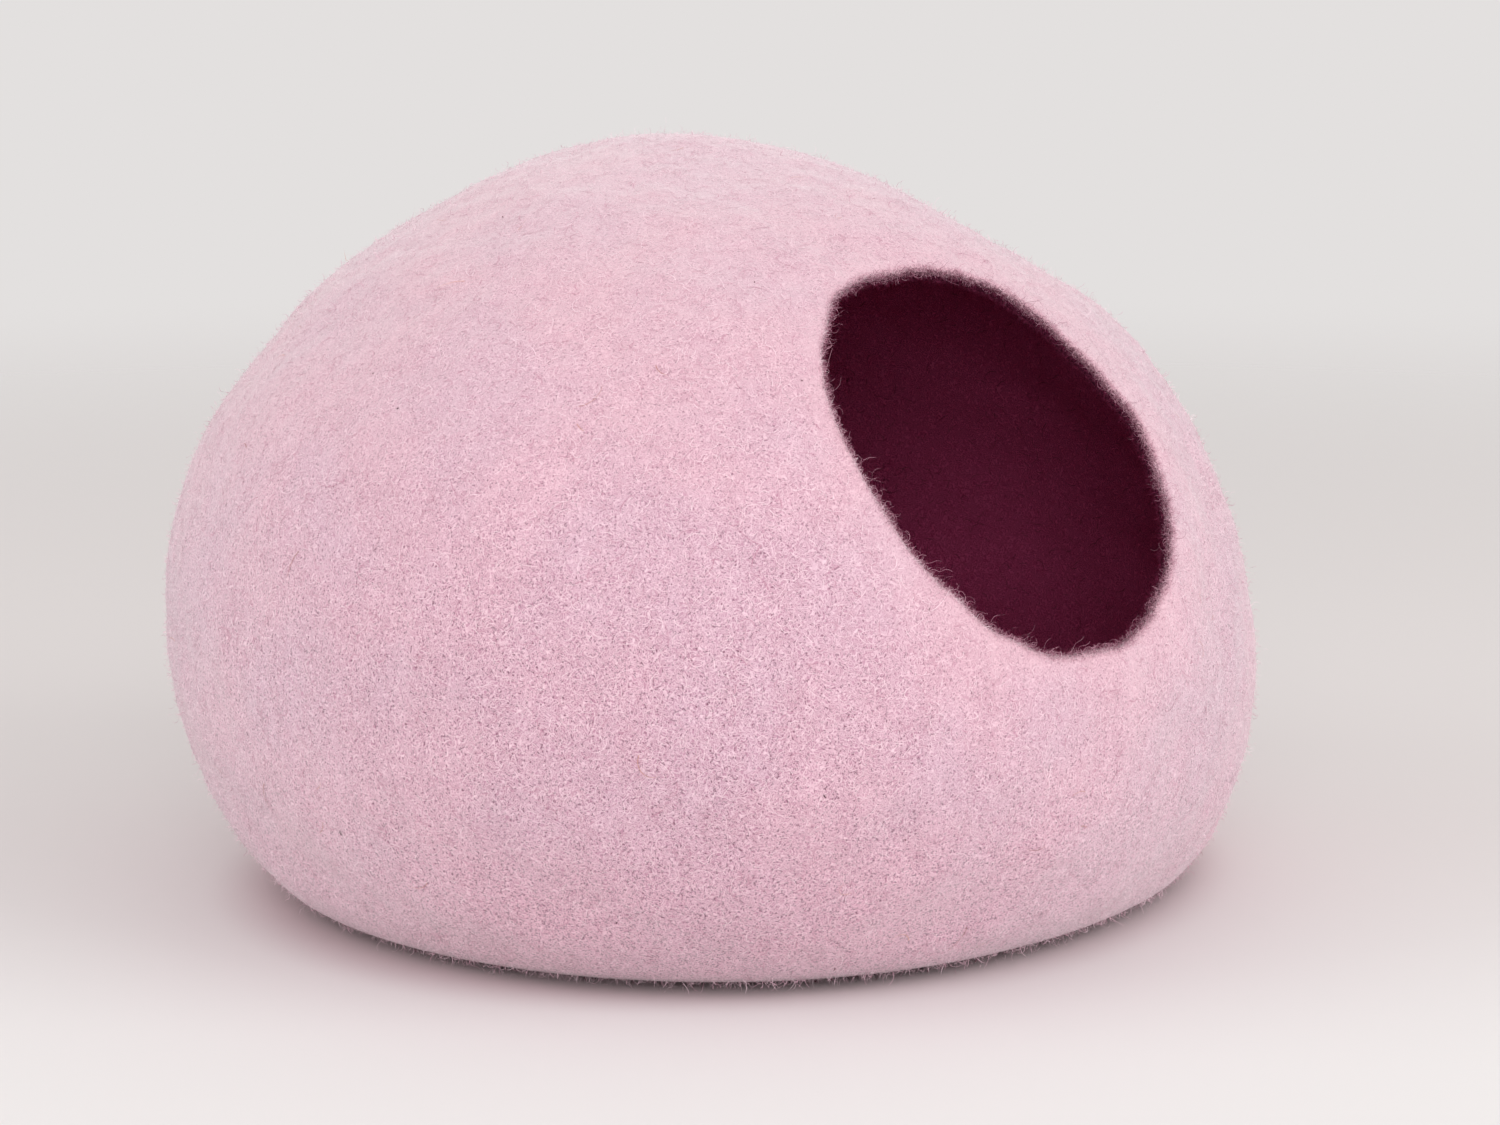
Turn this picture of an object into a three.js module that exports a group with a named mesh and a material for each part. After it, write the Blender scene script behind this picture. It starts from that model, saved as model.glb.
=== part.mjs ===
// A one-piece cave bed of felted wool for a small pet: a hollow, seamless egg that sags flat onto the
// floor, with one oval doorway cut high in its front. Millimetres, +Z up, the doorway faces -Y.
import * as THREE from "three";
import { mergeVertices } from "three/addons/utils/BufferGeometryUtils.js";

// Driving sizes
const WALL = 7; // felt thickness
const HEART_HEIGHT = 155; // the point that all radii start from, above the floor

// The foot: between the flat underside and the wall, the felt lies just off the floor as a low wedge
const FOOT = { depth: 22, slope: 0.18, underRound: 1.5, wallRound: 8 };

// How far the outer face stands from the heart towards each side, by the elevation of the direction.
// The mouth side leans out low and draws in high, and the right flank bulges lowest.
const PROFILES = [
  { elevation: -90, front: 237, back: 237, left: 237, right: 237 },
  { elevation: -70, front: 236, back: 241, left: 234, right: 250 },
  { elevation: -50, front: 242, back: 246, left: 241, right: 271 },
  { elevation: -30, front: 264, back: 249, left: 255, right: 287 },
  { elevation: -10, front: 268, back: 246, left: 256, right: 260 },
  { elevation: 10, front: 252, back: 240, left: 246, right: 235 },
  { elevation: 30, front: 224, back: 225, left: 222, right: 219 },
  { elevation: 50, front: 206, back: 211, left: 204, right: 194 },
  { elevation: 70, front: 192, back: 201, left: 195, right: 191 },
  { elevation: 90, front: 195, back: 195, left: 195, right: 195 },
];
const PROFILE_STEP = 20; // degrees between two rows of the table

// The doorway: the direction of its middle, its clear oval and how far the oval leans to the left
const DOOR = { elevation: 21, halfWidth: 81, halfHeight: 97, lean: 17 };

// How finely the felt is divided
const COLUMNS = 72; // around the doorway's axis
const OUTER_ROWS = 40;
const RIM_ROWS = 5;
const INNER_ROWS = 26;

// The plain ball that the body is drawn out from
const BALL_RADIUS = 250;
const BALL_DOOR_ANGLE = 0.36; // radians from the doorway's axis to the ball's clear edge

const NORMAL_STEP = 0.004; // radians, the small turn used to find which way the face looks

const radians = THREE.MathUtils.degToRad;

// A smooth curve through b and c, at the share t of the way, steered by their neighbours a and d
function smoothBetween(a, b, c, d, t) {
  const bend = 2 * a - 5 * b + 4 * c - d + t * (3 * (b - c) + d - a);
  return b + 0.5 * t * (c - a + t * bend);
}

// One side's radius at an elevation in degrees; over each pole the curve runs on into the opposite side
function sideRadius(side, opposite, elevation) {
  const last = PROFILES.length - 1;
  const place = (elevation + 90) / PROFILE_STEP;
  const row = Math.min(Math.floor(place), last - 1);
  const before = row > 0 ? PROFILES[row - 1][side] : PROFILES[1][opposite];
  const after = row < last - 1 ? PROFILES[row + 2][side] : PROFILES[last - 1][opposite];
  return smoothBetween(before, PROFILES[row][side], PROFILES[row + 1][side], after, place - row);
}

// The radius in any direction: between two sides the plan is a quarter of an ellipse
function radiusTowards(direction) {
  const elevation = THREE.MathUtils.radToDeg(Math.asin(THREE.MathUtils.clamp(direction.z, -1, 1)));
  const flat = Math.hypot(direction.x, direction.y);
  const across = flat > 0 ? direction.x / flat : 0;
  const ahead = flat > 0 ? direction.y / flat : 1;
  const acrossRadius =
    across < 0 ? sideRadius("left", "right", elevation) : sideRadius("right", "left", elevation);
  const aheadRadius =
    ahead < 0 ? sideRadius("front", "back", elevation) : sideRadius("back", "front", elevation);
  return 1 / Math.hypot(across / acrossRadius, ahead / aheadRadius);
}

// The larger of two heights, with the corner between them rounded over a band of the given width
function roundedMax(a, b, band) {
  const near = Math.max(band - Math.abs(a - b), 0);
  return Math.max(a, b) + near ** 2 / (4 * band);
}

// The floor stops the sag: heights well below it become 0, and the foot's wedge leads up to the wall
function settle(height) {
  const wedge = roundedMax(0, FOOT.slope * (height + FOOT.depth), FOOT.underRound);
  return roundedMax(height, wedge, FOOT.wallRound);
}

// The point of the outer face in a direction from the heart
function outerPoint(direction) {
  const point = direction.clone().multiplyScalar(radiusTowards(direction));
  point.z = settle(point.z + HEART_HEIGHT);
  return point;
}

// The way the outer face looks at that point, from two small turns of the direction
function outerNormal(direction) {
  const spare = Math.abs(direction.z) < 0.8 ? new THREE.Vector3(0, 0, 1) : new THREE.Vector3(1, 0, 0);
  const first = spare.cross(direction).normalize();
  const second = direction.clone().cross(first);
  const change = (turn) => {
    const ahead = direction.clone().addScaledVector(turn, NORMAL_STEP).normalize();
    const behind = direction.clone().addScaledVector(turn, -NORMAL_STEP).normalize();
    return outerPoint(ahead).sub(outerPoint(behind));
  };
  return change(first).cross(change(second)).normalize();
}

// The doorway's own frame: out through its middle, to its right and up its slope
const doorOut = new THREE.Vector3(0, -Math.cos(radians(DOOR.elevation)), Math.sin(radians(DOOR.elevation)));
const doorRight = new THREE.Vector3(0, 0, 1).cross(doorOut).normalize();
const doorUp = doorOut.clone().cross(doorRight);
const doorDistance = radiusTowards(doorOut);

// The angle from the doorway's axis to its clear edge, at a turn around that axis
function doorAngle(turn) {
  const along = turn - radians(DOOR.lean);
  const reach = 1 / Math.hypot(Math.cos(along) / DOOR.halfWidth, Math.sin(along) / DOOR.halfHeight);
  return Math.atan(reach / doorDistance);
}

// The felt's section in the plain ball, from the pole behind round to the doorway, over its
// half-round edge and back along the inside
function ballSection() {
  const points = [];
  const edgeAngle = BALL_DOOR_ANGLE + WALL / 2 / BALL_RADIUS;
  const sweep = Math.PI - edgeAngle;
  const onBall = (angle, radius) =>
    new THREE.Vector2(Math.sin(angle) * radius, -Math.cos(angle) * radius);
  for (let row = 0; row < OUTER_ROWS; row++) {
    points.push(onBall((sweep * row) / OUTER_ROWS, BALL_RADIUS));
  }
  const edgeMiddle = onBall(sweep, BALL_RADIUS - WALL / 2);
  const outwards = onBall(sweep, 1);
  const onwards = new THREE.Vector2(-outwards.y, outwards.x);
  for (let row = 0; row <= RIM_ROWS; row++) {
    const turn = (Math.PI * row) / RIM_ROWS;
    const offset = outwards.clone().multiplyScalar(Math.cos(turn));
    offset.addScaledVector(onwards, Math.sin(turn));
    points.push(edgeMiddle.clone().addScaledVector(offset, WALL / 2));
  }
  for (let row = INNER_ROWS - 1; row >= 0; row--) {
    points.push(onBall((sweep * row) / INNER_ROWS, BALL_RADIUS - WALL));
  }
  points[0].x = 0;
  points[points.length - 1].x = 0;
  return points;
}

// Draws a point of the plain ball out to the bed's own shape, keeping its depth in the felt
function drawnOut(point) {
  const radius = point.length();
  const depth = BALL_RADIUS - radius;
  const ballAngle = Math.acos(THREE.MathUtils.clamp(point.y / radius, -1, 1));
  const turn = Math.atan2(-point.z, point.x);
  const share = (Math.PI - ballAngle) / (Math.PI - BALL_DOOR_ANGLE);
  const angle = Math.PI - share * (Math.PI - doorAngle(turn));
  const direction = doorOut.clone().multiplyScalar(Math.cos(angle));
  direction.addScaledVector(doorRight, Math.sin(angle) * Math.cos(turn));
  direction.addScaledVector(doorUp, Math.sin(angle) * Math.sin(turn));
  direction.normalize();
  return outerPoint(direction).addScaledVector(outerNormal(direction), -depth);
}

// The whole felt body, one closed surface from the outside over the doorway's edge to the inside
function feltBody() {
  const lathe = new THREE.LatheGeometry(ballSection(), COLUMNS);
  lathe.deleteAttribute("normal");
  lathe.deleteAttribute("uv");
  const geometry = mergeVertices(lathe, 1e-3);
  const position = geometry.getAttribute("position");
  const point = new THREE.Vector3();
  for (let i = 0; i < position.count; i++) {
    const moved = drawnOut(point.fromBufferAttribute(position, i));
    position.setXYZ(i, moved.x, moved.y, moved.z);
  }
  geometry.computeBoundingBox();
  const middle = geometry.boundingBox.getCenter(new THREE.Vector3());
  geometry.translate(-middle.x, -middle.y, -geometry.boundingBox.min.z);
  geometry.computeVertexNormals();
  return geometry;
}

const felt = new THREE.MeshStandardMaterial({ color: 0xe4b8c9, roughness: 1, metalness: 0 });

const bed = new THREE.Group();
const shell = new THREE.Mesh(feltBody(), felt);
shell.name = "felt_shell";
bed.add(shell);

export default bed;
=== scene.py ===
import math

import bpy
import numpy as np
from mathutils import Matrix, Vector


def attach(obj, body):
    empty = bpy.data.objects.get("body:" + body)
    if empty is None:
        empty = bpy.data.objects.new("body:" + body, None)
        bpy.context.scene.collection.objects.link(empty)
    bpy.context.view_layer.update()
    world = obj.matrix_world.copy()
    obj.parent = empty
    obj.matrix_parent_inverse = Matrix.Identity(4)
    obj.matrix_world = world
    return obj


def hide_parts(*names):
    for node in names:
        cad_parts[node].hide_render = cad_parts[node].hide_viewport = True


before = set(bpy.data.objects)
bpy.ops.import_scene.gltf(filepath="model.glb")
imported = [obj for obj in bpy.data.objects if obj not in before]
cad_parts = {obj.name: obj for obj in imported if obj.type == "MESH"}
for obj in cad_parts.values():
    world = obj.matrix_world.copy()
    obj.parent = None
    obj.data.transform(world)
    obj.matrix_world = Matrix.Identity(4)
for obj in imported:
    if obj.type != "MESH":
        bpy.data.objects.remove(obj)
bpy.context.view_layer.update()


# The felt body
# One seamless hollow egg of wet-felted wool, about half a metre across, pulled by hand over a ball. Plum
# wool is laid first and pale pink over it, so one wall is pink outside and plum inside. It stands on the
# flat that its own weight presses into it, and an oval doorway is cut high in its front and rubbed round.

MM = 0.001  # sizes are in millimetres and the meshes in metres
WALL = 7.0
HEART_HEIGHT = 155.0  # the point that all radii start from, above the floor
ELEVATION_STEP = 20.0
# Radii from the heart at elevations of -90 to 90 degrees, a step apart
SIDES = {
    "front": (237, 236, 242, 264, 268, 252, 224, 206, 192, 195),
    "back": (237, 241, 246, 249, 246, 240, 225, 211, 201, 195),
    "left": (237, 234, 241, 255, 256, 246, 222, 204, 195, 195),
    "right": (237, 250, 271, 287, 260, 235, 219, 194, 191, 195),
}
# The foot: between the flat underside and the wall, the felt lies just off the floor as a low wedge
FOOT_DEPTH = 22.0
FOOT_SLOPE = 0.18
FOOT_UNDER_ROUND = 1.5
FOOT_WALL_ROUND = 8.0

DOOR_ELEVATION = math.radians(21)
DOOR_HALF_WIDTH = 81.0
DOOR_HALF_HEIGHT = 97.0
DOOR_LEAN = math.radians(17)
# Round its right side the doorway is stretched a little wider than the plain oval: how far, where the middle
# of the stretch is, how far round it goes and how gently it begins
STRETCH = 4.5
STRETCH_MIDDLE = math.radians(-7.5)
STRETCH_REACH = 0.6
STRETCH_RISE = 0.7

# How finely the felt is divided, and the plain ball that it is drawn out from
COLUMNS = 336
OUTER_ROWS = 186
RIM_ROWS = 18
INNER_ROWS = 72
BALL_RADIUS = 250.0
BALL_DOOR_ANGLE = 0.36

# Hand-pulled felt is never quite even: slow swells, palm-sized dents and finger-sized ones, in millimetres
SWELLS = ((150.0, 0.9), (62.0, 0.55), (24.0, 0.22), (11.0, 0.09))
RIM_WAVER = ((70.0, 0.9), (26.0, 0.45))
RELIEF_FADE = 26.0  # the swells die out below this height
RUBBED_BAND = 38.0  # hands have rubbed the felt smooth about this far round the doorway


def side_radius(side, opposite, elevation):
    """One side's radius at elevations in degrees; past a pole the curve runs on into the opposite side."""
    own = np.array(SIDES[side], float)
    other = SIDES[opposite]
    column = np.concatenate(([other[1]], own, [other[-2]]))
    place = (elevation + 90) / ELEVATION_STEP
    row = np.clip(np.floor(place).astype(int), 0, len(own) - 2)
    t = place - row
    a, b, c, d = (column[row + k] for k in range(4))
    bend = 2 * a - 5 * b + 4 * c - d + t * (3 * (b - c) + d - a)
    return b + 0.5 * t * (c - a + t * bend)


def radius_towards(direction):
    """The outer face's distance from the heart: between two sides the plan is a quarter of an ellipse."""
    elevation = np.degrees(np.arcsin(np.clip(direction[..., 2], -1, 1)))
    flat = np.hypot(direction[..., 0], direction[..., 1]) + 1e-12
    across = direction[..., 0] / flat
    ahead = direction[..., 1] / flat
    left, right = side_radius("left", "right", elevation), side_radius("right", "left", elevation)
    front, back = side_radius("front", "back", elevation), side_radius("back", "front", elevation)
    return 1 / np.hypot(across / np.where(across < 0, left, right), ahead / np.where(ahead < 0, front, back))


def rounded_max(first, second, band):
    """The larger of two heights, with the corner between them rounded over a band of the given width."""
    near = np.maximum(band - np.abs(first - second), 0)
    return np.maximum(first, second) + near ** 2 / (4 * band)


def outer_point(direction):
    """The outer face in a direction from the heart, its sag stopped by the floor and the foot's wedge."""
    point = direction * radius_towards(direction)[..., None]
    height = point[..., 2] + HEART_HEIGHT
    wedge = rounded_max(0 * height, FOOT_SLOPE * (height + FOOT_DEPTH), FOOT_UNDER_ROUND)
    point[..., 2] = rounded_max(height, wedge, FOOT_WALL_ROUND)
    return point


def unit(vectors):
    """The vectors at length 1."""
    return vectors / np.maximum(np.linalg.norm(vectors, axis=-1, keepdims=True), 1e-12)


def outer_normal(direction, turn=0.004):
    """The way the outer face looks, from two small turns of the direction."""
    upright = np.abs(direction[..., 2:]) < 0.8
    spare = np.where(upright, np.array([0.0, 0.0, 1.0]), np.array([1.0, 0.0, 0.0]))
    first = unit(np.cross(spare, direction))
    second = np.cross(direction, first)
    changes = [
        outer_point(unit(direction + turn * way)) - outer_point(unit(direction - turn * way))
        for way in (first, second)
    ]
    return unit(np.cross(changes[0], changes[1]))


def swell(points, sizes, seed, waves=14):
    """A smooth random height at each point: for each (wavelength, height) a sum of waves in random ways."""
    random = np.random.default_rng(seed)
    total = np.zeros(points.shape[:-1])
    for wavelength, height in sizes:
        ways = unit(random.normal(size=(waves, 3))) * random.uniform(0.75, 1.3, (waves, 1))
        phases = random.uniform(0, 2 * np.pi, waves)
        field = np.sin(points @ (ways.T * 2 * np.pi / wavelength) + phases).sum(-1)
        total += height * field * math.sqrt(2 / waves)
    return total


door_out = np.array([0, -math.cos(DOOR_ELEVATION), math.sin(DOOR_ELEVATION)])
door_right = np.array([1.0, 0.0, 0.0])
door_up = np.cross(door_out, door_right)
door_distance = radius_towards(door_out)


def door_angle(turn):
    """The angle from the doorway's axis to its clear edge, at turns round that axis, a little wavering."""
    along = turn - DOOR_LEAN
    stretched = np.clip((np.cos(turn - STRETCH_MIDDLE) + STRETCH_REACH) / STRETCH_RISE, 0, 1)
    reach = 1 / np.hypot(np.cos(along) / DOOR_HALF_WIDTH, np.sin(along) / DOOR_HALF_HEIGHT)
    reach = reach + STRETCH * stretched ** 2 * (3 - 2 * stretched)
    edge = np.stack((np.cos(turn), np.sin(turn), 0 * turn), -1) * reach[..., None]
    return np.arctan((reach + swell(edge, RIM_WAVER, seed=5)) / door_distance)


def felt_section():
    """The wall's rows from behind, over the doorway's edge, to the inside: ball angle, depth, inwardness."""
    edge = BALL_DOOR_ANGLE + WALL / 2 / BALL_RADIUS
    outer = np.linspace(np.pi, edge, OUTER_ROWS + 1)[:-1]
    turn = np.linspace(0, np.pi, RIM_ROWS + 1)
    rim = edge - np.sin(turn) * WALL / 2 / BALL_RADIUS
    inner = np.linspace(edge, np.pi, INNER_ROWS + 1)[1:]
    angle = np.concatenate((outer, rim, inner))
    depth = np.concatenate((0 * outer, (1 - np.cos(turn)) * WALL / 2, 0 * inner + WALL))
    inward = np.concatenate((0 * outer, turn / np.pi, 0 * inner + 1))
    return angle, depth, inward


def drawn_out(ball_angle, turn, depth):
    """Places of grains of the felt, from their angle and turn round the doorway's axis and their depth."""
    share = (np.pi - ball_angle) / (np.pi - BALL_DOOR_ANGLE)
    angle = np.pi - share * (np.pi - door_angle(turn))
    around = np.cos(turn)[..., None] * door_right + np.sin(turn)[..., None] * door_up
    direction = unit(np.cos(angle)[..., None] * door_out + np.sin(angle)[..., None] * around)
    point = outer_point(direction)
    normal = outer_normal(direction)
    fade = np.clip(point[..., 2] / RELIEF_FADE, 0, 1) ** 2
    return point + (fade * swell(point, SWELLS, seed=3) - depth)[..., None] * normal


def centred(points):
    """The points with the middle of the bed's footprint box on the frame's origin."""
    return points - np.array([foot_middle[0], foot_middle[1], 0.0])


# The middle of the bed's box, from its outer face in a great many directions
every_way = unit(np.random.default_rng(1).normal(size=(60000, 3)))
outer_cloud = outer_point(every_way)
foot_middle = (outer_cloud.min(0) + outer_cloud.max(0)) / 2

ball_angle, depth, inward = felt_section()
turns = np.linspace(0, 2 * np.pi, COLUMNS, endpoint=False)
grid = centred(drawn_out(*np.broadcast_arrays(ball_angle[:, None], turns[None, :], depth[:, None])))
grid[0] = grid[0].mean(0)
grid[-1] = grid[-1].mean(0)
grid[..., 2] = np.maximum(grid[..., 2], 0)


def mesh_object(name, vertices, faces):
    """A smooth-shaded object in the frame, from points in millimetres."""
    mesh = bpy.data.meshes.new(name)
    mesh.from_pydata((vertices * MM).tolist(), [], faces)
    mesh.shade_smooth()
    made = bpy.data.objects.new(name, mesh)
    bpy.context.scene.collection.objects.link(made)
    return made


def shell_faces(rows, columns):
    """Faces of a grid that closes round its columns and ends in one point at its first and last row."""
    first, last = 0, 1 + (rows - 2) * columns
    faces = []
    for column in range(columns):
        beside = (column + 1) % columns
        faces.append((first, 1 + beside, 1 + column))
        end = last - columns
        faces.append((end + column, end + beside, last))
        for row in range(rows - 3):
            low = 1 + row * columns
            faces.append((low + column, low + beside, low + columns + beside, low + columns + column))
    return faces


shell_points = np.concatenate((grid[0, :1], grid[1:-1].reshape(-1, 3), grid[-1, :1]))
shell = mesh_object("felt_body", shell_points, shell_faces(len(grid), COLUMNS))


def row_values(name, values):
    """Gives the shell a named number for each row of its grid."""
    spread = np.concatenate((values[:1], np.repeat(values[1:-1], COLUMNS), values[-1:]))
    shell.data.attributes.new(name, "FLOAT", "POINT").data.foreach_set("value", spread)


row_values("inwardness", inward)
row_values("rubbing", np.exp(-np.maximum(ball_angle - BALL_DOOR_ANGLE, 0) * BALL_RADIUS / RUBBED_BAND))


# Where a colour Mix node keeps its factor, its two colours and its result
MIX_FACTOR, MIX_FIRST, MIX_SECOND, MIX_RESULT = 0, 6, 7, 2


class Value:
    """A socket in a material's nodes. Sums and products of values add Math nodes."""

    def __init__(self, tree, socket=None):
        self.tree = tree
        self.socket = socket

    def node(self, kind, settings=(), inputs=(), output=0):
        """Adds a node with these settings and these values or links in its sockets."""
        made = self.tree.nodes.new(kind)
        for name, value in dict(settings).items():
            setattr(made, name, value)
        for name, value in dict(inputs).items():
            if isinstance(value, Value):
                self.tree.links.new(value.socket, made.inputs[name])
            else:
                made.inputs[name].default_value = value
        return Value(self.tree, made.outputs[output])

    def math(self, operation, *values):
        return self.node("ShaderNodeMath", {"operation": operation}, dict(enumerate(values)))

    def __add__(self, other):
        return self.math("ADD", self, other)

    def __sub__(self, other):
        return self.math("SUBTRACT", self, other)

    def __rsub__(self, other):
        return self.math("SUBTRACT", other, self)

    def __mul__(self, other):
        return self.math("MULTIPLY", self, other)

    __radd__ = __add__
    __rmul__ = __mul__

    def over(self, other):
        """The larger of the two values."""
        return self.math("MAXIMUM", self, other)

    def between(self, low, high):
        """0 below low, 1 above high and a smooth rise between them."""
        limits = {"Value": self, "From Min": low, "From Max": high}
        return self.node("ShaderNodeMapRange", {"interpolation_type": "SMOOTHSTEP"}, limits)

    def mixed(self, first, second):
        """The first colour where this value is 0, the second where it is 1."""
        colours = {MIX_FACTOR: self, MIX_FIRST: first, MIX_SECOND: second}
        return self.node("ShaderNodeMix", {"data_type": "RGBA"}, colours, MIX_RESULT)


def linear(red, green, blue):
    """A colour given as it looks, on 0 to 255, as the shader takes it."""
    parts = [part / 255 for part in (red, green, blue)]
    return (*(p / 12.92 if p <= 0.04045 else ((p + 0.055) / 1.055) ** 2.4 for p in parts), 1.0)


def wool_noise(start, place, size, detail=2.0, roughness=0.5, stretch=(1.0, 1.0, 1.0)):
    """Soft random patches of about size millimetres, 0 to 1, longer along an axis whose stretch is small."""
    moved = start.node("ShaderNodeMapping", {}, {"Vector": place, "Scale": stretch})
    inputs = {"Vector": moved, "Scale": 1000 / size, "Detail": detail, "Roughness": roughness}
    return start.node("ShaderNodeTexNoise", {}, inputs)


# Layers of strands: the size of their curls in millimetres, how close they lie and how strongly they show
BROAD_STRANDS = (
    {"size": 4.1, "turns": 62.0, "strength": 1.0},
    {"size": 6.6, "turns": 95.0, "strength": 0.85},
)
FINE_STRANDS = ({"size": 2.8, "turns": 44.0, "strength": 0.65},)


def strands(start, place, layers):
    """Thin curly strands that lie over one another, 0 to 1: the level lines of soft noises."""
    shown = None
    for layer in layers:
        wave = start.math("SINE", wool_noise(start, place, layer["size"], 1.0) * layer["turns"])
        lines = wave.between(0.25, 1.0) * layer["strength"]
        shown = shown.over(lines) if shown else lines
    return shown


def new_material(name):
    """A material with its Principled shader, and the value that its nodes start from."""
    material = bpy.data.materials.new(name)
    material.use_nodes = True
    return material, material.node_tree.nodes["Principled BSDF"], Value(material.node_tree)


def finish_felt(material, shader, colour, relief, roughness, specular):
    """Gives felt its colour, the low relief of its strands and its dull face."""
    bump = relief.node("ShaderNodeBump", {}, {"Height": relief, "Strength": 0.5, "Distance": 0.0006})
    material.node_tree.links.new(colour.socket, shader.inputs["Base Color"])
    material.node_tree.links.new(bump.socket, shader.inputs["Normal"])
    shader.inputs["Roughness"].default_value = roughness
    shader.inputs["Specular IOR Level"].default_value = specular


PINK_FIBRE = linear(244, 214, 224)
PINK_GROUND = linear(188, 138, 159)
PINK_ROSE = linear(226, 179, 197)
PINK_LILAC = linear(216, 179, 199)
PINK_RUBBED_AND_LIT = linear(226, 189, 195)
PINK_LOW = linear(230, 168, 190)
PINK_HOLLOW = linear(98, 52, 74)
PINK_SHADED = linear(98, 46, 64)
PLUM_FIBRE = linear(212, 94, 142)
PLUM_GROUND = linear(168, 58, 106)
# The edge's plum is the inside's wool darkened as painted shade, so the lit edge looks as dark as the shaded
# inside.
SHADE_PAINTED_EDGE_PLUM_FIBRE = linear(104, 40, 66)
SHADE_PAINTED_EDGE_PLUM_GROUND = linear(60, 14, 36)

# Where the pink felt changes, in metres: it is paler and smoother high up and to the right as painted light,
# rosier low down, and darkened as painted shade where the foot lifts off the floor
LIT_HEIGHTS = (0.12, 0.31)
LIT_RIGHT = (0.1, 0.22)
LOW_HEIGHTS = (0.02, 0.11)
SHADE_BEGINS = (0.0002, 0.0012)
SHADE_ENDS = (0.003, 0.009)


def felt_material():
    """Pale pink strands over a mauve ground with open pores, with painted light making it paler high up and
    to the right.
    """
    material, shader, start = new_material("pink_wool_felt")
    place = start.node("ShaderNodeTexCoord", output="Object")
    height = start.node("ShaderNodeSeparateXYZ", {}, {0: place}, "Z")
    across = start.node("ShaderNodeSeparateXYZ", {}, {0: place}, "X")
    inside = start.node("ShaderNodeAttribute", {"attribute_name": "inwardness"}, output="Fac")
    smoothed = start.node("ShaderNodeAttribute", {"attribute_name": "rubbing"}, output="Fac")

    curly = strands(start, place, BROAD_STRANDS + FINE_STRANDS)
    grain = wool_noise(start, place, 1.4, roughness=0.6)
    pores = wool_noise(start, place, 1.1, detail=1.0)
    streaks = wool_noise(start, place, 9.0, stretch=(1.0, 1.0, 0.16))
    patches = wool_noise(start, place, 60.0, roughness=0.55)
    # Round the doorway the felt is rubbed smooth; high up and to the right it is paler and smoother as
    # painted light.
    rubbed_and_lit = (height.between(*LIT_HEIGHTS) * 0.55).over(smoothed * 0.65)
    rubbed_and_lit = rubbed_and_lit.over(across.between(*LIT_RIGHT) * 0.8)
    open_wool = 1 - rubbed_and_lit
    low = 1 - height.between(*LOW_HEIGHTS)

    tone = patches.between(0.35, 0.65).mixed(PINK_ROSE, PINK_LILAC)
    tone = (rubbed_and_lit * 0.9).mixed(tone, PINK_RUBBED_AND_LIT)
    tone = (low * 0.6).mixed(tone, PINK_LOW)
    ground = (streaks.between(0.35, 0.75) * 0.35 + rubbed_and_lit * 0.6).mixed(PINK_GROUND, tone)
    cover = curly * 0.75 + grain.between(0.3, 0.7) * 0.25
    colour = cover.mixed(ground, (cover * (open_wool - low * 0.1) * 0.8).mixed(tone, PINK_FIBRE))
    open_pores = (pores + low * 0.045).between(0.56, 0.7)
    colour = (open_pores * (1 - curly * 0.5) * open_wool * 0.75).mixed(colour, PINK_HOLLOW)
    shaded = height.between(*SHADE_BEGINS) * (1 - height.between(*SHADE_ENDS)) * 0.9
    colour = shaded.mixed(colour, PINK_SHADED)

    # Over the doorway's edge the pink turns to the edge's plum, which is darkened as painted shade.
    lining = (inside + (grain - 0.5) * 0.5 + (curly - 0.5) * -0.2).between(0.1, 0.52)
    colour = lining.mixed(colour, cover.mixed(SHADE_PAINTED_EDGE_PLUM_GROUND, SHADE_PAINTED_EDGE_PLUM_FIBRE))

    relief = curly * 0.6 + grain * 0.5 - pores.between(0.5, 0.7) * 0.5
    finish_felt(material, shader, colour, relief * open_wool, roughness=0.95, specular=0.15)
    shader.inputs["Sheen Weight"].default_value = 0.7
    shader.inputs["Sheen Roughness"].default_value = 0.5
    return material


def plum_material():
    """The plum wool past the crest of the doorway's edge, darkened along the edge as painted shade."""
    material, shader, start = new_material("plum_wool_felt")
    place = start.node("ShaderNodeTexCoord", output="Object")
    rubbing = start.node("ShaderNodeAttribute", {"attribute_name": "rubbing"}, output="Fac")
    curly = strands(start, place, BROAD_STRANDS)
    shade_painted_edge = curly.mixed(SHADE_PAINTED_EDGE_PLUM_GROUND, SHADE_PAINTED_EDGE_PLUM_FIBRE)
    colour = rubbing.between(0.7, 0.95).mixed(curly.mixed(PLUM_GROUND, PLUM_FIBRE), shade_painted_edge)
    finish_felt(material, shader, colour, curly, roughness=1.0, specular=0.05)
    return material


shell.data.materials.append(felt_material())
shell.data.materials.append(plum_material())
LINING_FROM = OUTER_ROWS + RIM_ROWS // 2  # the row at the crest of the doorway's edge
face_rows = [max((polygon.vertices[0] - 1) // COLUMNS + 1, 0) for polygon in shell.data.polygons]
shell.data.polygons.foreach_set("material_index", [int(row >= LINING_FROM) for row in face_rows])
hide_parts("felt_shell")
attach(shell, "root")


# The nap on the outside
# Fine wool fibres, about a fifth of a millimetre thick, that the felting left lying in arcs and small loops
# on the pink face. They are part of the same wool, rooted in the wall, and lie close along it.

FIBRE_WIDTH = 0.21
NAP_PIECES = 3
NAP_FIBRES = 13000


def grid_normals(points):
    """The way each point of the grid looks, from its neighbours along and round the rows."""
    along = np.gradient(points, axis=0)
    around = np.roll(points, -1, axis=1) - np.roll(points, 1, axis=1)
    return unit(np.cross(around, along))


normals = grid_normals(grid)


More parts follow.
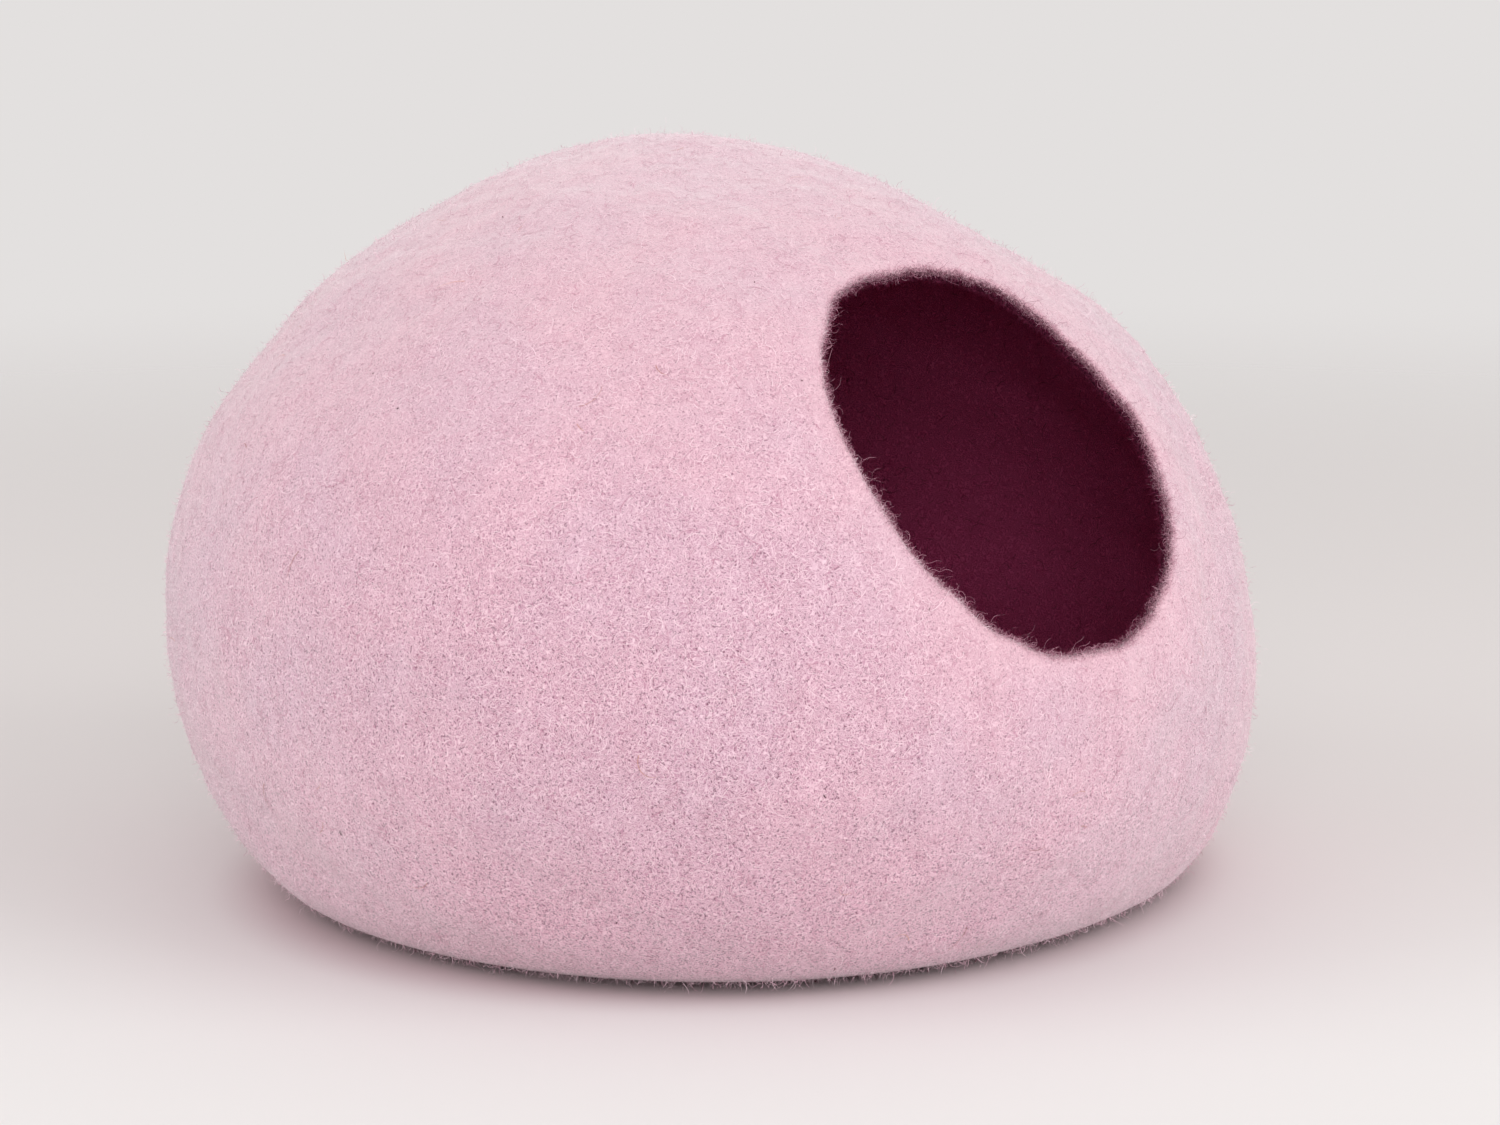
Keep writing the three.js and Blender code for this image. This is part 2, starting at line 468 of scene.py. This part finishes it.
def roots(random, count, rows, likely=None):
    """Random places on the grid's faces between two rows, evenly by area, as points and normals."""
    span = slice(rows[0], rows[1])
    here, beside = grid[span], np.roll(grid[span], -1, axis=1)
    above = grid[rows[0] + 1:rows[1] + 1]
    area = np.linalg.norm(np.cross(beside - here, above - here), axis=-1)
    weight = area if likely is None else area * likely(here)
    picked = random.choice(weight.size, count, p=weight.ravel() / weight.sum())
    row, column = np.unravel_index(picked, weight.shape)
    row = row + rows[0]
    next_column = (column + 1) % COLUMNS
    s, t = random.uniform(size=(2, count, 1))
    corners = ((row, column), (row, next_column), (row + 1, column), (row + 1, next_column))
    shares = ((1 - s) * (1 - t), s * (1 - t), (1 - s) * t, s * t)
    point = sum(share * grid[corner] for share, corner in zip(shares, corners))
    normal = unit(sum(share * normals[corner] for share, corner in zip(shares, corners)))
    return point, normal


def sideways(random, normal):
    """A random way along the face at each normal."""
    return unit(np.cross(normal, unit(random.normal(size=normal.shape))))


def either_way(random, count, low, high):
    """Bends to the left or the right, in radians a millimetre."""
    return random.choice([-1, 1], count) * random.uniform(low, high, count)


def uneven(random, count, width):
    """Fibre widths that differ a little round a middle one."""
    return width * random.uniform(0.7, 1.2, count)


def curls(root, start, axis, bend, length, points):
    """Paths that leave their roots along start and turn about axis by bend radians a millimetre."""
    s = np.linspace(0, 1, points)[None, :, None] * length[:, None, None]
    k = bend[:, None, None]
    level = (start * axis).sum(-1, keepdims=True) * axis
    turning = (start - level)[:, None]
    beside = np.cross(axis, start - level)[:, None]
    straight = root[:, None] + level[:, None] * s
    return straight + turning * np.sin(k * s) / k + beside * (1 - np.cos(k * s)) / k


def ribbons(name, paths, facing, width, tones, taper=0.35):
    """Joins fibres into one mesh: each is a flat ribbon along its path, turned to look along facing."""
    count, points = paths.shape[:2]
    along = unit(np.gradient(paths, axis=1))
    side = unit(np.cross(along, facing[:, None]))
    share = 1 - (1 - taper) * np.linspace(0, 1, points) ** 2
    half = 0.5 * width[:, None, None] * share[None, :, None] * side
    vertices = np.stack((paths - half, paths + half), 2).reshape(-1, 3)
    vertices[:, 2] = np.maximum(vertices[:, 2], 0.02)
    first = (np.arange(count)[:, None] * points + np.arange(points - 1)[None, :]).reshape(-1, 1) * 2
    made = mesh_object(name, vertices, (first + np.array([[0, 1, 3, 2]])).tolist())
    tone = made.data.attributes.new("tone", "FLOAT", "POINT")
    tone.data.foreach_set("value", np.repeat(tones, points * 2))
    return made


def strand_material(name, light, dark, sheen):
    """Loose fibres, each of its own tone between a light and a dark colour."""
    material, shader, start = new_material(name)
    tone = start.node("ShaderNodeAttribute", {"attribute_name": "tone"}, output="Fac")
    material.node_tree.links.new(tone.mixed(light, dark).socket, shader.inputs["Base Color"])
    shader.inputs["Roughness"].default_value = 0.85
    shader.inputs["Specular IOR Level"].default_value = 0.25
    shader.inputs["Sheen Weight"].default_value = sheen
    return material


def wool_piece(piece, material):
    """Finishes a piece of loose wool: it belongs to the felt body."""
    piece.data.materials.append(material)
    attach(piece, "root")


def off_the_floor(points):
    """Little of the nap is rooted under the bed, where it is pressed flat."""
    return np.where(points[..., 2] < 1.5, 0.04, 1.0)


pink_strand = strand_material("pale_pink_wool", linear(246, 220, 229), linear(190, 130, 154), 0.3)
for number in range(NAP_PIECES):
    random = np.random.default_rng(20 + number)
    root, normal = roots(random, NAP_FIBRES, (1, OUTER_ROWS - 1), off_the_floor)
    start = sideways(random, normal)
    axis = unit(normal + 0.22 * random.normal(size=(NAP_FIBRES, 3)))
    bend = either_way(random, NAP_FIBRES, 0.06, 0.55)
    length = random.uniform(5, 12, NAP_FIBRES)
    lifted = root + normal * random.uniform(0.05, 0.35, (NAP_FIBRES, 1))
    paths = curls(lifted, start, axis, bend, length, points=6)
    width = FIBRE_WIDTH * random.uniform(0.7, 1.25, NAP_FIBRES)
    tones = random.uniform(size=NAP_FIBRES) ** 2.5
    wool_piece(ribbons(f"outer_nap_{number + 1}", paths, normal, width, tones), pink_strand)


# The fuzz that stands off the outside
# Short ends of the same fibres that stick out a few millimetres, so that the bed's outline looks soft.

random = np.random.default_rng(31)
count = 16000
root, normal = roots(random, count, (1, OUTER_ROWS), off_the_floor)
start = unit(normal + 1.1 * sideways(random, normal))
axis = unit(random.normal(size=(count, 3)))
bend = either_way(random, count, 0.15, 0.7)
length = random.uniform(1.2, 4.0, count)
paths = curls(root, start, axis, bend, length, points=5)
width = uneven(random, count, 0.15)
facing = sideways(random, normal)
tones = 0.3 * random.uniform(size=count)
wool_piece(ribbons("outer_fuzz", paths, facing, width, tones, taper=0.2), pink_strand)


# Stray fibres
# A fleece is never quite clean: a few tan hairs and tiny dark burrs stay caught in the pink wool.

tan_strand = strand_material("tan_wool", linear(226, 176, 160), linear(170, 118, 110), 0.2)
random = np.random.default_rng(35)
count = 90
root, normal = roots(random, count, (1, OUTER_ROWS - 1), off_the_floor)
axis = unit(normal + 0.3 * random.normal(size=(count, 3)))
bend = either_way(random, count, 0.05, 0.3)
start = sideways(random, normal)
length = random.uniform(6, 16, count)
paths = curls(root + 0.3 * normal, start, axis, bend, length, points=9)
width = uneven(random, count, 0.26)
wool_piece(ribbons("tan_hairs", paths, normal, width, random.uniform(size=count)), tan_strand)

dark_strand = strand_material("dark_burr", linear(128, 84, 92), linear(70, 48, 52), 0.0)
count = 46
root, normal = roots(random, count, (1, OUTER_ROWS - 1), off_the_floor)
axis = unit(normal + 0.5 * random.normal(size=(count, 3)))
bend = either_way(random, count, 0.5, 1.6)
start = sideways(random, normal)
length = 0.8 + random.exponential(0.6, count)
paths = curls(root + 0.35 * normal, start, axis, bend, length, points=6)
width = random.uniform(0.3, 0.7, count)
wool_piece(ribbons("dark_burrs", paths, normal, width, random.uniform(size=count)), dark_strand)


# The curls round the doorway
# Where the doorway was cut, loose curls of both wools hook out over the clear opening and were never
# trimmed. Most are a short thicket along the edge, and here and there a long loop swings out of it.

def rim_row(inwardness):
    """The grid's row at a share of the way over the doorway's edge."""
    return OUTER_ROWS + round(inwardness * RIM_ROWS)


def doorway_curls(
    name, material, seed, count, reach, lengths, bends, tones, width, points=5, spread=1.2, out=1.0
):
    """Curls on part of the doorway's edge: out is how straight they leave it, spread how wildly they turn."""
    random = np.random.default_rng(seed)
    root, normal = roots(random, count, (rim_row(reach[0]), rim_row(reach[1])))
    start = unit(out * normal + 0.8 * sideways(random, normal))
    axis = unit(door_out + spread * random.normal(size=(count, 3)))
    bend = either_way(random, count, *bends)
    length = random.uniform(*lengths, count)
    paths = curls(root, start, axis, bend, length, points)
    facing = unit(door_out + spread * random.normal(size=(count, 3)))
    widths = uneven(random, count, width)
    wool_piece(ribbons(name, paths, facing, widths, random.uniform(*tones, count), taper=0.6), material)


plum_strand = strand_material("plum_wool", linear(128, 44, 78), linear(74, 12, 38), 0.0)
mauve_strand = strand_material("mauve_wool", linear(206, 154, 172), linear(112, 52, 76), 0.0)
# Curls rooted deeper in the edge are darker: partly the mauve and plum of the two wools, partly painted shade
# under the rim.
doorway_curls(
    "doorway_pale_curls", pink_strand, seed=41, count=4600, reach=(0.05, 0.3),
    lengths=(0.8, 3.0), bends=(0.3, 1.0), tones=(0, 0.7), width=0.13,
)
doorway_curls(
    "doorway_mauve_curls", mauve_strand, seed=44, count=5000, reach=(0.2, 0.5),
    lengths=(0.8, 3.4), bends=(0.3, 1.0), tones=(0, 0.9), width=0.14,
)
doorway_curls(
    "doorway_plum_curls", plum_strand, seed=43, count=6400, reach=(0.36, 0.9),
    lengths=(0.8, 3.4), bends=(0.3, 1.0), tones=(0, 1), width=0.16,
)
doorway_curls(
    "doorway_loops", mauve_strand, seed=42, count=640, reach=(0.15, 0.5),
    lengths=(5, 15), bends=(0.4, 1), tones=(0, 0.7), width=0.13, points=14, spread=0.3, out=0.6,
)


# The fuzz at the foot
# Round the line where the wall meets the floor, pale curls have worked loose and lie out over it. Behind
# them a fringe of fibres hangs between the floor and the underside, coloured dark as painted shade.

def between_heights(low, high):
    """A likelihood for roots: the strip of wall between two heights in millimetres."""
    return lambda points: ((points[..., 2] > low) & (points[..., 2] < high)).astype(float)


def foot_fuzz(name, material, seed, count, strip, tilt, lengths, tones, width, points):
    """Curls rooted in a strip of the lowest wall, between two heights, that lean down by the given tilt."""
    random = np.random.default_rng(seed)
    root, normal = roots(random, count, (1, OUTER_ROWS), between_heights(*strip))
    start = unit(normal + 0.9 * sideways(random, normal) - np.array([0, 0, tilt]))
    axis = unit(random.normal(size=(count, 3)) * np.array([1, 1, 1.6]))
    bend = either_way(random, count, 0.25, 0.9)
    length = lengths[0] + (lengths[1] - lengths[0]) * random.uniform(size=count) ** 2
    paths = curls(root, start, axis, bend, length, points)
    widths = uneven(random, count, width)
    facing = unit(random.normal(size=(count, 3)))
    wool_piece(ribbons(name, paths, facing, widths, random.uniform(*tones, count)), material)


# The fringe's dark colours are painted shade under the foot.
foot_shade_strand = strand_material("shade_painted_wool", linear(100, 46, 64), linear(44, 16, 26), 0.0)
foot_fuzz(
    "foot_shade_painted_wool", foot_shade_strand, seed=52, count=4600, strip=(0.2, 4.0), tilt=0.2,
    lengths=(1.0, 3.6), tones=(0.0, 1.0), width=0.32, points=4,
)
foot_fuzz(
    "foot_curls", pink_strand, seed=51, count=2400, strip=(2.5, 7.5), tilt=0.3,
    lengths=(2.5, 8.0), tones=(0.0, 0.7), width=0.17, points=7,
)


# The nap on the inside
# The plum wool inside has the same loose fibres, seen just inside the doorway and faintly further in.

random = np.random.default_rng(61)
count = 5200
root, normal = roots(random, count, (rim_row(1.0) + 1, len(grid) - 2))
start = unit(0.35 * normal + sideways(random, normal))
axis = unit(normal + 0.4 * random.normal(size=(count, 3)))
bend = either_way(random, count, 0.08, 0.6)
length = random.uniform(4, 10, count)
paths = curls(root + 0.1 * normal, start, axis, bend, length, points=6)
width = uneven(random, count, 0.26)
wool_piece(ribbons("inner_nap", paths, normal, width, random.uniform(0.2, 1.0, count)), plum_strand)


# The floor
# A plain pale studio floor, lightest before the bed and darker behind it with painted shade, that fades into
# the room.
# Close to the foot a painted shadow with painted pink bounce light from the wool makes it duller and pinker.

# Lengths here are in metres
FLOOR_RADIUS = 9.0
FLOOR_NEAR = linear(231, 230, 229)
FLOOR_SHADED_BEHIND = linear(223, 219, 218)
FLOOR_PAINTED_SHADOW = linear(178, 136, 146)
FLOOR_TURNS_DARKER = (-0.28, 0.12)
FLOOR_FADES = (0.7, 3.2)
SHADOW_HEIGHTS = (3, 6)  # the dull band follows the wall's outline between these heights, in millimetres
SHADOW_SHARES = (0.95, 1.17)  # it fades out between these shares of that outline
SHADOW_SHIFT = np.array([-0.008, 0.006, 0.0])  # it lies a little towards the view's left, the darker side
VIEW_TURN = math.radians(36.1)  # the photograph is taken this far round to the left


def floor():
    """A round matt floor that fades out with the distance from the bed."""
    bpy.ops.mesh.primitive_circle_add(vertices=96, radius=FLOOR_RADIUS, fill_type="NGON")
    ground = bpy.context.object
    ground.name = "studio_floor"
    material, shader, start = new_material("pale_floor")
    place = start.node("ShaderNodeTexCoord", output="Object")
    behind = (math.sin(VIEW_TURN), math.cos(VIEW_TURN), 0.0)
    ahead = start.node("ShaderNodeVectorMath", {"operation": "DOT_PRODUCT"}, {0: place, 1: behind}, "Value")
    far = start.node("ShaderNodeVectorMath", {"operation": "LENGTH"}, {0: place}, "Value")
    colour = ahead.between(*FLOOR_TURNS_DARKER).mixed(FLOOR_NEAR, FLOOR_SHADED_BEHIND)
    # A painted contact shadow, duller and pinker, along the foot's outline.
    foot = grid[(grid[..., 2] > SHADOW_HEIGHTS[0]) & (grid[..., 2] < SHADOW_HEIGHTS[1])] * MM
    reach = (foot.max(0) - foot.min(0)) / 2
    centre = (foot.min(0) + foot.max(0)) / 2 + SHADOW_SHIFT
    sizes = {"Location": (*(-centre / reach)[:2], 0.0), "Scale": (*(1 / reach)[:2], 0.0), "Vector": place}
    foot_shares = start.node("ShaderNodeMapping", {}, sizes)
    from_foot = start.node("ShaderNodeVectorMath", {"operation": "LENGTH"}, {0: foot_shares}, "Value")
    colour = ((1 - from_foot.between(*SHADOW_SHARES)) * 0.5).mixed(colour, FLOOR_PAINTED_SHADOW)
    material.node_tree.links.new(colour.socket, shader.inputs["Base Color"])
    material.node_tree.links.new((1 - far.between(*FLOOR_FADES)).socket, shader.inputs["Alpha"])
    shader.inputs["Roughness"].default_value = 0.9
    ground.data.materials.append(material)


floor()


# The light
# An even pale room with three square soft boxes turned to the bed: a wide one to the right of the doorway, a
# wide one to the left and a little behind, and a smaller, lower one between them.

BOX_DISTANCE = 2.6
BOX_AIM = (0, 0, 0.12)


def soft_box(name, azimuth, height, size, watts):
    """A square lamp that looks at the bed; azimuth 0 is in front of the doorway and 90 to its right."""
    turn = math.radians(azimuth)
    place = (math.sin(turn) * BOX_DISTANCE, -math.cos(turn) * BOX_DISTANCE, height)
    data = bpy.data.lights.new(name, "AREA")
    data.size = size
    data.energy = watts
    lamp = bpy.data.objects.new(name, data)
    lamp.location = place
    lamp.rotation_euler = direction_to(place, BOX_AIM)
    bpy.context.scene.collection.objects.link(lamp)


def direction_to(place, aim):
    """The rotation that turns a lamp's or camera's own -Z from place towards aim."""
    return (Vector(aim) - Vector(place)).to_track_quat("-Z", "Y").to_euler()


soft_box("right_box", azimuth=28, height=1.4, size=1.8, watts=27)
soft_box("left_box", azimuth=-110, height=1.4, size=1.8, watts=16)
soft_box("low_box", azimuth=-36, height=0.95, size=1.2, watts=18)

world = bpy.context.scene.world or bpy.data.worlds.new("room")
bpy.context.scene.world = world
world.use_nodes = True
room_light = world.node_tree.nodes["Background"]
room_light.inputs["Color"].default_value = linear(227, 224, 223)
room_light.inputs["Strength"].default_value = 1.0
bpy.context.scene.view_settings.view_transform = "Standard"


# The camera
# It stands about a metre and a half away, to the left of the doorway and a little above the bed.

CAMERA_AZIMUTH = -VIEW_TURN
CAMERA_ELEVATION = math.radians(9.9)
CAMERA_DISTANCE = 1.5
CAMERA_LENS = 75.6
CAMERA_SENSOR = 36
AIM_RIGHT = 0.0225
AIM_HEIGHT = 0.1487


def add_camera():
    """The photograph's view: azimuth 0 looks along +Y, and a negative azimuth stands to the left."""
    sine, cosine = math.sin(CAMERA_AZIMUTH), math.cos(CAMERA_AZIMUTH)
    level = math.cos(CAMERA_ELEVATION)
    back = np.array([sine * level, -cosine * level, math.sin(CAMERA_ELEVATION)])
    aim = np.array([cosine, sine, 0]) * AIM_RIGHT + np.array([0, 0, AIM_HEIGHT])
    aim = aim - np.array([foot_middle[0], foot_middle[1], 0]) * MM
    data = bpy.data.cameras.new("view")
    data.sensor_width = CAMERA_SENSOR
    data.lens = CAMERA_LENS
    camera = bpy.data.objects.new("view", data)
    camera.location = aim + back * CAMERA_DISTANCE
    camera.rotation_euler = direction_to(camera.location, aim)
    bpy.context.scene.collection.objects.link(camera)
    bpy.context.scene.camera = camera


add_camera()
